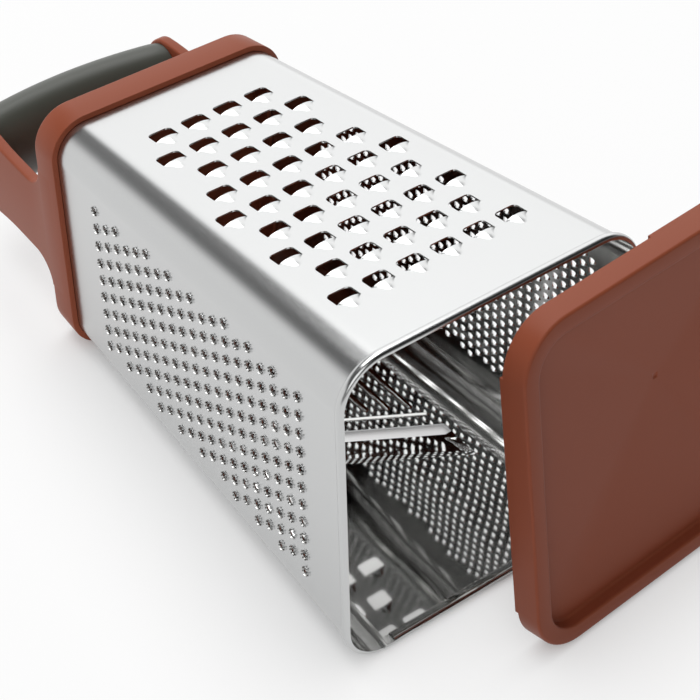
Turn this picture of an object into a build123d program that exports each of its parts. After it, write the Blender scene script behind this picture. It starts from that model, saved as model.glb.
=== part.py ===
from build123d import *

import os
from math import atan, atan2, cos, degrees, radians, sin, tan

os.makedirs("parts", exist_ok=True)

# Driving sizes of the steel tube, over the sheet. Its own axes: Z up the tube from the open end,
# X across the coarse face, Y from the coarse face to the slicing face.
open_width = 103.0
open_depth = 108.0
neck_width = 82.1
neck_depth = 83.0
neck_height = 156.0
sheet = 0.5
open_corner = 14.0
neck_corner = 11.0
sheet_tuck = 8.6
bend_gap = 0.02

# Rounded corners are drawn in short straight steps
corner_steps = 5

# Rolled bead at the open end
bead_height = 3.2
bead_overhang = 1.0
bead_chamfer = 0.6
lip_thickness = 0.5
lip_end_gap = 2.5
seam_gap = 0.4
seam_inset = 10.6

# Coarse blades
coarse_pitch = 11.64
coarse_row = 13.0
coarse_below_neck = 26.0
coarse_counts = [4, 5, 4, 5, 6, 5, 6, 5, 6]
blade_width = 8.2
blade_length = 4.4
blade_rise = 1.0
mouth_length = 5.4
mouth_corner = 1.3
blade_crown_share = 0.6
blade_tip_share = 0.5

# Rasp holes
rasp_pitch = 6.52
rasp_row = 6.24
rasp_below_neck = 22.2
rasp_counts = [9, 8, 9, 8, 9, 10, 9, 10, 9, 10, 9, 10, 11, 10, 11, 10, 11, 10, 11]
rasp_radius = 1.5

# Fine shredding holes
fine_pitch = 4.2
fine_row = 3.43
fine_below_neck = 22.9
fine_rows = 35
fine_open_count = 16
fine_neck_count = 12
fine_radius = 1.35

# Slanted slicing blade, its stiffening crease and the guide ribs above it
slice_half_width = 31.5
slice_fall = 30.0
fold_height = 60.9
lip_length = 10.9
lip_rise = 1.45
slot_gap = 3.4
crease_width = 1.8
press_height = 0.7
crease_above_slot = 3.8
rib_count = 10
rib_pitch = 6.06
rib_width = 2.4
rib_above_slot = 10.0
ribs_below_neck = 23.0

# Top frame: band, deck and arms
band_height = 12.0
band_overhang = 2.0
band_chamfer = 1.0
band_foot_chamfer = 0.5
fit_gap = 0.1
deck_thickness = 3.0
spigot_depth = 6.0
spigot_thickness = 1.5
arm_thickness = 4.0
arm_half_width = 14.0
arm_foot_radius = 9.0
arm_sink = 2.5
arm_waist_above_deck = 28.0
arm_end_half_width = 16.0
arm_end_rise = 11.0

# Grip between the arms
grip_above_deck = 47.0
grip_bow = 4.0
grip_half_width = 15.0
grip_half_height = 10.0
core_half_width = 9.0
core_half_height = 4.5
core_lift = 1.5
grip_sides = 16
grip_steps = 6

# Base cap, taken off and stood on its edge in front of the open end
cap_clearance = 0.2
cap_wall = 1.0
cap_depth = 8.4
cap_chamfer = 0.8
cap_floor = 1.5
foot_width = 5.6
recess_depth = 4.2
tray_thickness = 1.2
tray_wall = 1.3
lug_depth = 1.1
side_lug_half_length = 41.0
pull_lug_start = 4.0
pull_lug_length = 34.0
gate_radius = 1.3
gate_depth = 0.4
gate_across = 0.4
gate_up = 14.0
cap_yaw = 4.4
cap_lean = 10.3
cap_left = -7.5
cap_front = -31.5

# How far the hollow of a coarse blade is cut past its edge
overrun = 0.5

# Sizes that follow
side_lean = atan((open_width - neck_width) / 2 / neck_height)
face_lean = atan((open_depth - neck_depth) / 2 / neck_height)
sheet_top = neck_height + sheet_tuck
band_top = neck_height + band_height
coarse_first = neck_height - coarse_below_neck
rasp_first = neck_height - rasp_below_neck
fine_first = neck_height - fine_below_neck
rib_top = neck_height - ribs_below_neck
arm_waist_height = band_top + arm_waist_above_deck
grip_end_height = band_top + grip_above_deck
bead_rest = bead_height - bead_chamfer
band_rest = band_top - band_chamfer
lie_angle = atan2(
    (open_depth / 2 + bead_overhang) - (open_depth / 2 - tan(face_lean) * band_rest + band_overhang),
    band_rest - bead_rest,
)
cap_width = open_width + 2 * (bead_overhang + cap_clearance + cap_wall)
cap_height = open_depth + 2 * (bead_overhang + cap_clearance + cap_wall)
cap_corner = open_corner + bead_overhang + cap_clearance + cap_wall
rim_foot = -(open_depth / 2 + bead_overhang) * sin(lie_angle)

# The tube lies on its slicing face, so its axis falls towards the handle
body_plane = Plane(
    origin=(0, 0, (open_depth / 2 + bead_overhang) * cos(lie_angle) + bead_rest * sin(lie_angle)),
    x_dir=(1, 0, 0),
    z_dir=(0, cos(lie_angle), -sin(lie_angle)),
)

tube_axis = Axis(body_plane.origin, body_plane.z_dir)

# The cap leans back towards the tube, with the lower edge of its mouth on the table
across = Vector(cos(radians(cap_yaw)), sin(radians(cap_yaw)), 0)
outward = Vector(
    sin(radians(cap_yaw)) * cos(radians(cap_lean)),
    -cos(radians(cap_yaw)) * cos(radians(cap_lean)),
    sin(radians(cap_lean)),
)
upward = outward.cross(across)
cap_plane = Plane(
    origin=Vector(cap_left, rim_foot + cap_front, cap_depth * sin(radians(cap_lean)))
    + across * (cap_width / 2)
    + upward * (cap_height / 2),
    x_dir=across,
    z_dir=outward,
)
cap_axis = Axis(cap_plane.origin, cap_plane.z_dir)


def width_at(height, reach=0.0):
    """Width over the sheet at a height up the tube, widened by reach on each side."""
    return open_width - 2 * tan(side_lean) * height + 2 * reach


def depth_at(height, reach=0.0):
    """Depth over the sheet at a height up the tube, widened by reach on each side."""
    return open_depth - 2 * tan(face_lean) * height + 2 * reach


def corner_at(height):
    """Radius round the sheet's corners at a height up the tube."""
    return open_corner - (open_corner - neck_corner) * height / neck_height


def face_plane(reach, lean, turn):
    """Plane on one face of the tube: Y up its slope, Z outward, turned about the tube's axis."""
    out_x = cos(radians(turn))
    out_y = sin(radians(turn))
    side = body_plane.x_dir * out_x + body_plane.y_dir * out_y
    return Plane(
        origin=body_plane.origin + side * reach,
        x_dir=body_plane.y_dir * out_x - body_plane.x_dir * out_y,
        z_dir=side * cos(lean) + body_plane.z_dir * sin(lean),
    )


fine_face = face_plane(open_width / 2, side_lean, 0)
slicer_face = face_plane(open_depth / 2, face_lean, 90)
rasp_face = face_plane(open_width / 2, side_lean, 180)
coarse_face = face_plane(open_depth / 2, face_lean, 270)


def panel_outline(span_at, lean):
    """Corners of a flat face between its two bends, from the bead to the sheet's top edge."""
    low = bead_height + sheet * sin(lean)
    high = sheet_top
    low_half = span_at(low) / 2 - corner_at(low) - bend_gap
    high_half = span_at(high) / 2 - corner_at(high) - bend_gap
    return [
        (-low_half, low / cos(lean)),
        (low_half, low / cos(lean)),
        (high_half, high / cos(lean)),
        (-high_half, high / cos(lean)),
    ]


def row_places(first, row, pitch, counts):
    """Places of staggered rows, each centred on the face, from the handle to the open end."""
    places = []
    for index, count in enumerate(counts):
        for step in range(count):
            places.append(((step - (count - 1) / 2) * pitch, first - index * row))
    return places


def fine_row_counts():
    """Holes in each fine row: an even and an odd row by turns, growing towards the open end."""
    counts = []
    for index in range(fine_rows):
        share = index / (fine_rows - 1)
        even = fine_neck_count + 2 * round(share * (fine_open_count - fine_neck_count) / 2)
        counts.append(even - index % 2)
    return counts


def draw_blade(shrink, front):
    """A half dome behind a blade's cutting edge, made smaller all round by shrink."""
    width = blade_width - 2 * shrink
    length = blade_length - shrink + front
    with BuildPart(Plane(origin=(0, 0, -sheet), x_dir=(1, 0, 0), z_dir=(0, -1, 0))) as blade:
        with Locations((-width / 2, 0, -front)):
            Wedge(
                width,
                blade_rise + sheet - shrink,
                length,
                width * (1 - blade_crown_share) / 2,
                0,
                width * (1 + blade_crown_share) / 2,
                length * blade_tip_share,
                align=None,
            )
    return blade.part


# Coarse shredding face: raised half domes with their cutting edges towards the handle
coarse_places = row_places(coarse_first, coarse_row, coarse_pitch, coarse_counts)
blade_dome = draw_blade(0, 0)
blade_hollow = draw_blade(sheet, overrun)
with BuildPart() as coarse_panel:
    with BuildSketch(coarse_face):
        with BuildLine():
            Polyline(*panel_outline(width_at, face_lean), close=True)
        make_face()
    extrude(amount=-sheet)
    with Locations(*[coarse_face.location * Location((u, v, 0)) for u, v in coarse_places]):
        add(blade_dome)
        add(blade_hollow, mode=Mode.SUBTRACT)
    with BuildSketch(coarse_face):
        with Locations(*coarse_places):
            half = blade_width / 2
            Polygon(
                (-half, 0),
                (half, 0),
                (half, mouth_length - mouth_corner),
                (half - mouth_corner, mouth_length),
                (mouth_corner - half, mouth_length),
                (-half, mouth_length - mouth_corner),
                align=None,
            )
    extrude(amount=-2 * sheet, both=True, mode=Mode.SUBTRACT)

# Rasp face: a punched hole under each star of teeth
with BuildPart() as rasp_panel:
    with BuildSketch(rasp_face):
        with BuildLine():
            Polyline(*panel_outline(depth_at, side_lean), close=True)
        make_face()
        with Locations(*row_places(rasp_first, rasp_row, rasp_pitch, rasp_counts)):
            RegularPolygon(rasp_radius, 3, rotation=90, mode=Mode.SUBTRACT)
    extrude(amount=-sheet)

# Fine shredding face
with BuildPart() as fine_panel:
    with BuildSketch(fine_face):
        with BuildLine():
            Polyline(*panel_outline(depth_at, side_lean), close=True)
        make_face()
        with Locations(*row_places(fine_first, fine_row, fine_pitch, fine_row_counts())):
            RegularPolygon(fine_radius, 3, rotation=90, mode=Mode.SUBTRACT)
    extrude(amount=-sheet)


def slanted(height, half=slice_half_width):
    """Two ends of a line across the slicing face, falling towards the fine face."""
    drop = half * tan(radians(slice_fall))
    return [(-half, height - drop), (half, height + drop)]


def slanted_outline(low, high, half=slice_half_width):
    """Corners of the strip between two slanted lines on the slicing face, with upright ends."""
    bottom = slanted(low, half)
    top = slanted(high, half)
    return [bottom[0], bottom[1], top[1], top[0]]


# Lengths square to the slanted blade, as they lie when measured straight up the face
slant_stretch = 1 / cos(radians(slice_fall))
lip_top = fold_height + lip_length * slant_stretch
slot_top = lip_top + slot_gap * slant_stretch
crease_low = slot_top + crease_above_slot * slant_stretch
crease_high = crease_low + crease_width * slant_stretch
lip_run = slice_half_width * 2 * slant_stretch
rib_places = [(step - (rib_count - 1) / 2) * rib_pitch for step in range(rib_count)]

# Slicing face: a sloped lip under a slanted slot, a crease above it and upright guide ribs
with BuildPart() as slicer_panel:
    with BuildSketch(slicer_face):
        with BuildLine():
            Polyline(*panel_outline(width_at, face_lean), close=True)
        make_face()
        with BuildLine():
            Polyline(*slanted_outline(fold_height, slot_top), close=True)
        make_face(mode=Mode.SUBTRACT)
    extrude(amount=-sheet)
    lip_end = Plane(
        origin=slicer_face.from_local_coords(slanted(fold_height)[0]),
        x_dir=slicer_face.y_dir,
        z_dir=slicer_face.x_dir,
    )
    along_slot = slicer_face.x_dir * cos(radians(slice_fall)) + slicer_face.y_dir * sin(radians(slice_fall))
    lip_reach = lip_length * slant_stretch
    with BuildSketch(lip_end):
        with BuildLine():
            Polyline(
                (-sheet, 0),
                (0, 0),
                (lip_reach, lip_rise),
                (lip_reach, lip_rise - sheet),
                (0, -sheet),
                (-sheet, -sheet),
                close=True,
            )
        make_face()
    extrude(amount=lip_run, dir=along_slot)
    for end in (0, lip_run - sheet):
        with BuildSketch(Plane(origin=lip_end.origin + along_slot * end, x_dir=lip_end.x_dir, z_dir=lip_end.z_dir)):
            with BuildLine():
                Polyline((0, -sheet), (lip_reach, lip_rise - sheet), (lip_reach, -sheet), close=True)
            make_face()
        extrude(amount=sheet, dir=along_slot)
    pressings = [(0, press_height, 0, Mode.ADD), (-sheet, press_height - sheet, sheet, Mode.SUBTRACT)]
    for start, end, shrink, mode in pressings:
        with BuildSketch(slicer_face.offset(start)) as pressing:
            crease_half = slice_half_width - crease_width - shrink
            with BuildLine():
                Polyline(*slanted_outline(crease_low + shrink, crease_high - shrink, crease_half), close=True)
            make_face()
            for across_face in rib_places:
                low = slot_top + across_face * tan(radians(slice_fall)) + rib_above_slot
                with Locations((across_face, (low + rib_top) / 2)):
                    Rectangle(rib_width - 2 * shrink, rib_top - low - 2 * shrink)
            chamfer(pressing.vertices(), (rib_width - 2 * shrink) / 4)
        extrude(amount=end - start, mode=mode)


def corner_points(width, depth, corner, turn):
    """Steps round one corner of a rounded rectangle, counted anticlockwise from the first."""
    side_x, side_y = ((1, 1), (-1, 1), (-1, -1), (1, -1))[turn]
    points = []
    for step in range(corner_steps + 1):
        angle = radians(90 * (turn + step / corner_steps))
        points.append(
            (
                side_x * (width / 2 - corner) + corner * cos(angle),
                side_y * (depth / 2 - corner) + corner * sin(angle),
            )
        )
    return points


def rounded_face(plane, width, depth, corner):
    """Flat face on a plane, outlined as a rectangle with rounded corners."""
    points = []
    for turn in range(4):
        points += corner_points(width, depth, corner, turn)
    with BuildSketch(plane) as flat:
        with BuildLine():
            Polyline(*points, close=True)
        make_face()
    return flat.sketch


def bend_section(height, turn):
    """The sheet round one corner of the tube at a height."""
    outer = corner_points(width_at(height), depth_at(height), corner_at(height), turn)
    inner = corner_points(width_at(height, -sheet), depth_at(height, -sheet), corner_at(height) - sheet, turn)
    with BuildSketch(body_plane.offset(height)) as section:
        with BuildLine():
            Polyline(*outer, *reversed(inner), close=True)
        make_face()
    return section.sketch


def draw_bend(turn):
    """The sheet's bend between two faces, from the bead to the sheet's top edge."""
    with BuildPart() as bend:
        add(bend_section(bead_height, turn))
        add(bend_section(sheet_top, turn))
        loft(ruled=True)
    return bend.part


bends = {
    "bend_coarse_fine": draw_bend(3),
    "bend_coarse_rasp": draw_bend(2),
    "bend_slicer_fine": draw_bend(0),
    "bend_slicer_rasp": draw_bend(1),
}

# Bead: the sheet's edge rolled over, with flat folds inside the straight sides and one seam
with BuildPart() as rim_bead:
    bead_outside = rounded_face(
        body_plane,
        open_width + 2 * bead_overhang,
        open_depth + 2 * bead_overhang,
        open_corner + bead_overhang,
    )
    extrude(bead_outside, amount=bead_height, dir=body_plane.z_dir)
    bead_ends = rim_bead.faces().sort_by(tube_axis)
    chamfer(bead_ends[0].edges() + bead_ends[-1].edges(), bead_chamfer)
    bead_inside = rounded_face(body_plane, open_width - 2 * sheet, open_depth - 2 * sheet, open_corner - sheet)
    extrude(bead_inside, amount=bead_height, dir=body_plane.z_dir, mode=Mode.SUBTRACT)
    fold_width = open_width - 2 * open_corner - 2 * lip_end_gap
    fold_depth = open_depth - 2 * open_corner - 2 * lip_end_gap
    with BuildSketch(body_plane.offset(bead_chamfer)):
        with Locations(
            (0, open_depth / 2 - sheet - lip_thickness / 2),
            (0, lip_thickness / 2 + sheet - open_depth / 2),
        ):
            Rectangle(fold_width, lip_thickness)
        with Locations(
            (open_width / 2 - sheet - lip_thickness / 2, 0),
            (lip_thickness / 2 + sheet - open_width / 2, 0),
        ):
            Rectangle(lip_thickness, fold_depth)
    extrude(amount=bead_height - bead_chamfer)
    with BuildSketch(body_plane):
        with Locations((seam_inset - open_width / 2, open_depth / 2)):
            Rectangle(seam_gap, open_corner)
    extrude(amount=bead_height, mode=Mode.SUBTRACT)


def tube_section(height, reach):
    """Outline round the tube at a height, set out from the sheet by reach."""
    return rounded_face(
        body_plane.offset(height), width_at(height, reach), depth_at(height, reach), corner_at(height) + reach
    )


def draw_arm(face):
    """One arm of the frame, its outer side flush with the band, flaring into its foot and its head."""
    outer = face.offset(band_overhang)
    low = (band_top - arm_sink) / cos(side_lean)
    foot = band_top / cos(side_lean)
    waist = arm_waist_height / cos(side_lean)
    head = grip_end_height / cos(side_lean)
    foot_half = arm_half_width + arm_foot_radius
    with BuildPart() as arm:
        with BuildSketch(outer):
            with BuildLine():
                Line((-foot_half, low), (foot_half, low))
                Line((foot_half, low), (foot_half, foot))
                RadiusArc((foot_half, foot), (arm_half_width, foot + arm_foot_radius), arm_foot_radius)
                Line((arm_half_width, foot + arm_foot_radius), (arm_half_width, waist))
                Line((arm_half_width, waist), (arm_end_half_width, head))
                EllipticalCenterArc((0, head), arm_end_half_width, arm_end_rise, 0, arc_size=180)
                Line((-arm_end_half_width, head), (-arm_half_width, waist))
                Line((-arm_half_width, waist), (-arm_half_width, foot + arm_foot_radius))
                RadiusArc((-arm_half_width, foot + arm_foot_radius), (-foot_half, foot), arm_foot_radius)
                Line((-foot_half, foot), (-foot_half, low))
            make_face()
        extrude(amount=-arm_thickness)
    return arm.part


right_arm = draw_arm(fine_face)
left_arm = draw_arm(rasp_face)

# Band round the neck of the tube
with BuildPart() as top_band:
    add(tube_section(neck_height, band_overhang - band_foot_chamfer))
    add(tube_section(neck_height + band_foot_chamfer, band_overhang))
    add(tube_section(band_top - band_chamfer, band_overhang))
    add(tube_section(band_top, band_overhang - band_chamfer))
    loft(ruled=True)
    add(tube_section(neck_height, fit_gap))
    add(tube_section(band_top, fit_gap))
    loft(ruled=True, mode=Mode.SUBTRACT)
    add(left_arm, mode=Mode.SUBTRACT)
    add(right_arm, mode=Mode.SUBTRACT)

# Deck that closes the neck, with a spigot inside the sheet
with BuildPart() as top_deck:
    add(tube_section(sheet_top + fit_gap, 0))
    add(tube_section(band_top, 0))
    loft(ruled=True)
    add(tube_section(sheet_top - spigot_depth, -sheet - fit_gap))
    add(tube_section(sheet_top + fit_gap, -sheet - fit_gap))
    loft(ruled=True)
    add(tube_section(sheet_top - spigot_depth, -sheet - fit_gap - spigot_thickness))
    add(tube_section(band_top - deck_thickness, -sheet - fit_gap - spigot_thickness))
    loft(ruled=True, mode=Mode.SUBTRACT)
    add(left_arm, mode=Mode.SUBTRACT)
    add(right_arm, mode=Mode.SUBTRACT)


def trim_between_arms():
    """Cut the piece in hand off at the arms' inner sides."""
    for face in (fine_face, rasp_face):
        split(bisect_by=face.offset(band_overhang - arm_thickness - fit_gap), keep=Keep.BOTTOM)


grip_reach = width_at(grip_end_height) / 2

# Bar inside the grip
with BuildPart() as grip_core:
    core_end = Plane(
        origin=body_plane.from_local_coords((-grip_reach, 0, grip_end_height + core_lift)),
        x_dir=body_plane.y_dir,
        z_dir=body_plane.x_dir,
    )
    with BuildSketch(core_end) as core_section:
        Rectangle(2 * core_half_width, 2 * core_half_height)
        chamfer(core_section.vertices(), core_half_height / 2)
    extrude(amount=2 * grip_reach)
    trim_between_arms()

def oval(share, half_across, half_up):
    """Outline of an oval bar between the arms, at a share of the way from its middle to its end."""
    height = grip_end_height + grip_bow * (1 - share * share)
    section = Plane(
        origin=body_plane.from_local_coords((share * grip_reach, 0, height)),
        x_dir=body_plane.y_dir,
        z_dir=body_plane.x_dir,
    )
    points = []
    for step in range(grip_sides):
        angle = radians(360 * step / grip_sides)
        points.append((half_across * cos(angle), half_up * sin(angle)))
    with BuildSketch(section) as flat:
        with BuildLine():
            Polyline(*points, close=True)
        make_face()
    return flat.sketch


# Grip: an oval bar, bowed away from the tube
with BuildPart() as grip:
    for step in range(grip_steps + 1):
        add(oval(2 * step / grip_steps - 1, grip_half_width, grip_half_height))
    loft(ruled=True)
    trim_between_arms()
    add(grip_core.part, mode=Mode.SUBTRACT)


def cap_face(depth, inset):
    """Outline of the cap at a depth, set in from its outside by inset."""
    return rounded_face(
        cap_plane.offset(-depth), cap_width - 2 * inset, cap_height - 2 * inset, cap_corner - inset
    )


# Cap: a skirt, a raised foot round a sunk tray, and a channel inside that takes the bead
with BuildPart() as base_cap:
    extrude(cap_face(cap_depth, 0), amount=cap_depth, dir=cap_plane.z_dir)
    chamfer(base_cap.faces().sort_by(cap_axis)[-1].edges(), cap_chamfer)
    extrude(cap_face(cap_depth, cap_wall), amount=cap_depth - cap_floor, dir=cap_plane.z_dir, mode=Mode.SUBTRACT)
    tray = cap_face(recess_depth + tray_thickness, foot_width - tray_wall)
    extrude(tray, amount=recess_depth + tray_thickness - cap_floor / 2, dir=cap_plane.z_dir)
    extrude(cap_face(recess_depth, foot_width), amount=recess_depth, dir=cap_plane.z_dir, mode=Mode.SUBTRACT)
    with BuildSketch(cap_plane.offset(-cap_depth)):
        with Locations(((cap_width - cap_wall) / 2, 0), ((cap_wall - cap_width) / 2, 0)):
            Rectangle(cap_wall, 2 * side_lug_half_length)
    extrude(amount=-lug_depth)
    with BuildSketch(cap_plane.offset(-cap_depth)):
        with Locations((pull_lug_start + pull_lug_length / 2, cap_height / 2 - cap_wall / 2)):
            Rectangle(pull_lug_length, cap_wall)
    extrude(amount=-lug_depth)
    with BuildSketch(cap_plane.offset(-recess_depth)):
        with Locations((gate_across, gate_up)):
            Circle(gate_radius)
    extrude(amount=-gate_depth, mode=Mode.SUBTRACT)

pieces = {
    "coarse_panel": coarse_panel.part,
    "rasp_panel": rasp_panel.part,
    "fine_panel": fine_panel.part,
    "slicer_panel": slicer_panel.part,
    **bends,
    "rim_bead": rim_bead.part,
    "top_band": top_band.part,
    "top_deck": top_deck.part,
    "left_arm": left_arm,
    "right_arm": right_arm,
    "grip_core": grip_core.part,
    "grip": grip.part,
    "base_cap": base_cap.part,
}

# The origin is the bottom centre of everything, with the tube and the cap as they stand
whole = Compound(children=[Part(piece.wrapped) for piece in pieces.values()]).bounding_box()
to_origin = Location((-whole.center().X, -whole.center().Y, -whole.min.Z))
for name, piece in pieces.items():
    placed = piece.moved(to_origin)
    placed.label = name
    export_step(placed, f"parts/{name}.step")

print("origin moved by", -whole.center().X, -whole.center().Y, -whole.min.Z)
print("lie angle", degrees(lie_angle))
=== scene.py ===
"""Looks of a tapered steel box grater that lies on its slicing face, its base cap stood beside its mouth.

Every piece is drawn in the object's own axes in millimetres and then placed in the row frame in metres.
The tube's axes are X across the coarse face, Y from the coarse face to the slicing face and Z up the
tube from its open end. The cap's axes are X across, Y up its face and Z out of its foot.
"""

import logging
import math
from dataclasses import dataclass, field
from enum import Enum

import bmesh
import bpy
from mathutils import Matrix, Vector


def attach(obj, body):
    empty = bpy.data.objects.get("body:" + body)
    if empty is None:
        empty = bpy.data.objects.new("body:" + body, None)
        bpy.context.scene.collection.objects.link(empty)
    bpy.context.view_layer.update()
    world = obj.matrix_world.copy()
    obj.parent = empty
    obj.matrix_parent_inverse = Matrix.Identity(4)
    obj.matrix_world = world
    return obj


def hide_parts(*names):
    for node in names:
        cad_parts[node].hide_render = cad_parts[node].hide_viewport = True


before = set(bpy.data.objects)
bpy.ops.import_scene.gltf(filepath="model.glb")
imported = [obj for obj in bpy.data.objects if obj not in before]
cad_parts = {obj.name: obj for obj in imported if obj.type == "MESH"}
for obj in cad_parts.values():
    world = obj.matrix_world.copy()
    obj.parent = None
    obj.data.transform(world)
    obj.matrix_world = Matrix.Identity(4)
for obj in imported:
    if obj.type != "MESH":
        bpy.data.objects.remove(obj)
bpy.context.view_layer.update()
logging.basicConfig(level=logging.INFO, format="%(name)s: %(message)s")
log = logging.getLogger("box_grater")

Place2 = tuple[float, float]
MILLIMETRE = 0.001
QUARTER = math.pi / 2
LIE_ANGLE = math.radians(4.30696991057356)
BEAD_REST = 2.6
ORIGIN_SHIFT = Vector((-23.40042770244386, -96.9397376253888, 0.05041996339873561))
CAP_YAW = math.radians(4.4)
CAP_LEAN = math.radians(10.3)
CAP_PLACE = (-7.5, -31.5)
SMOOTH_LIMIT = math.radians(38)
TURN_SEED = 7
SIZE_SEED = 19


class Body(Enum):
    """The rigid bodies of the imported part."""

    GRATER = "grater"
    CAP = "cap"


class Slot(Enum):
    """The record's material slots."""

    STEEL = "steel_sheet"
    PLASTIC = "terracotta_plastic"
    GRIP = "grip_plastic"


class Side(Enum):
    """Which face of the tube, as the turn of its outward direction about the tube's axis."""

    FINE = 0
    SLICER = 90
    RASP = 180
    COARSE = 270


class Grain(Enum):
    """What the surface of a finish shows close up."""

    BRUSHED = "fine lines along the tube"
    POLISHED = "slow waves of a pressed and polished sheet"
    MOULDED = "fine spark grain of a mould"


@dataclass(frozen=True)
class Finish:
    """One surface finish."""

    name: str
    color: tuple[float, float, float]
    metallic: float
    roughness: float
    spread: float
    grain: Grain
    relief: float
    shine: float = 0.5


SATIN_STEEL = Finish("satin_steel", (0.58, 0.585, 0.585), 1.0, 0.24, 0.03, Grain.BRUSHED, 0.0003)
BRIGHT_STEEL = Finish("bright_steel", (0.6, 0.6, 0.59), 1.0, 0.04, 0.01, Grain.POLISHED, 0.11)
DULL_STEEL = Finish("dull_steel", (0.6, 0.6, 0.59), 1.0, 0.12, 0.03, Grain.POLISHED, 0.02)
TERRACOTTA = Finish("terracotta_plastic", (0.30, 0.075, 0.036), 0.0, 0.42, 0.05, Grain.MOULDED, 0.004, 0.16)
GREY_GRIP = Finish("grey_grip_plastic", (0.07, 0.075, 0.062), 0.0, 0.38, 0.06, Grain.MOULDED, 0.006)

GRAIN_SCALE = {
    Grain.BRUSHED: (2600.0, 45.0, 2600.0),
    Grain.POLISHED: (70.0, 34.0, 70.0),
    Grain.MOULDED: (4200.0, 4200.0, 4200.0),
}


def wire(tree: bpy.types.NodeTree, *pairs: tuple) -> None:
    """Links each output to its input."""
    for start, end in pairs:
        tree.links.new(start, end)


def preset(node: bpy.types.Node, values: dict) -> bpy.types.Node:
    """Sets a node's inputs by their names or numbers."""
    for key, value in values.items():
        node.inputs[key].default_value = value
    return node


def math_node(tree: bpy.types.NodeTree, operation: str, *terms) -> bpy.types.NodeSocket:
    """Output of a math node whose terms are other outputs or plain numbers."""
    node = tree.nodes.new("ShaderNodeMath")
    node.operation = operation
    for socket, term in zip(node.inputs, terms):
        if isinstance(term, float):
            socket.default_value = term
        else:
            tree.links.new(term, socket)
    return node.outputs[0]


class Palette:
    """Makes each procedural material once."""

    def __init__(self) -> None:
        self._made: dict[str, bpy.types.Material] = {}

    def get(self, finish: Finish) -> bpy.types.Material:
        """Material of a finish, made at its first use."""
        if finish.name not in self._made:
            self._made[finish.name] = self._make(finish)
        return self._made[finish.name]

    def _make(self, finish: Finish) -> bpy.types.Material:
        material = bpy.data.materials.new(finish.name)
        material.use_nodes = True
        tree = material.node_tree
        add, shader = tree.nodes.new, tree.nodes["Principled BSDF"]
        preset(shader, {"Base Color": (*finish.color, 1.0), "Metallic": finish.metallic})
        preset(shader, {"Specular IOR Level": finish.shine})
        where = add("ShaderNodeTexCoord")
        scale = preset(add("ShaderNodeVectorMath"), {1: GRAIN_SCALE[finish.grain]})
        scale.operation = "MULTIPLY"
        detail = 0.0 if finish.grain is Grain.POLISHED else 3.0
        noise = preset(add("ShaderNodeTexNoise"), {"Scale": 1.0, "Detail": detail})
        low, high = finish.roughness - finish.spread, finish.roughness + finish.spread
        spread = preset(add("ShaderNodeMapRange"), {"To Min": low, "To Max": high})
        bump = preset(add("ShaderNodeBump"), {"Strength": 1.0, "Distance": finish.relief * MILLIMETRE})
        wire(
            tree,
            (where.outputs["Object"], scale.inputs[0]),
            (scale.outputs["Vector"], noise.inputs["Vector"]),
            (noise.outputs["Fac"], spread.inputs["Value"]),
            (spread.outputs["Result"], shader.inputs["Roughness"]),
            (noise.outputs["Fac"], bump.inputs["Height"]),
            (bump.outputs["Normal"], shader.inputs["Normal"]),
        )
        return material


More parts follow.
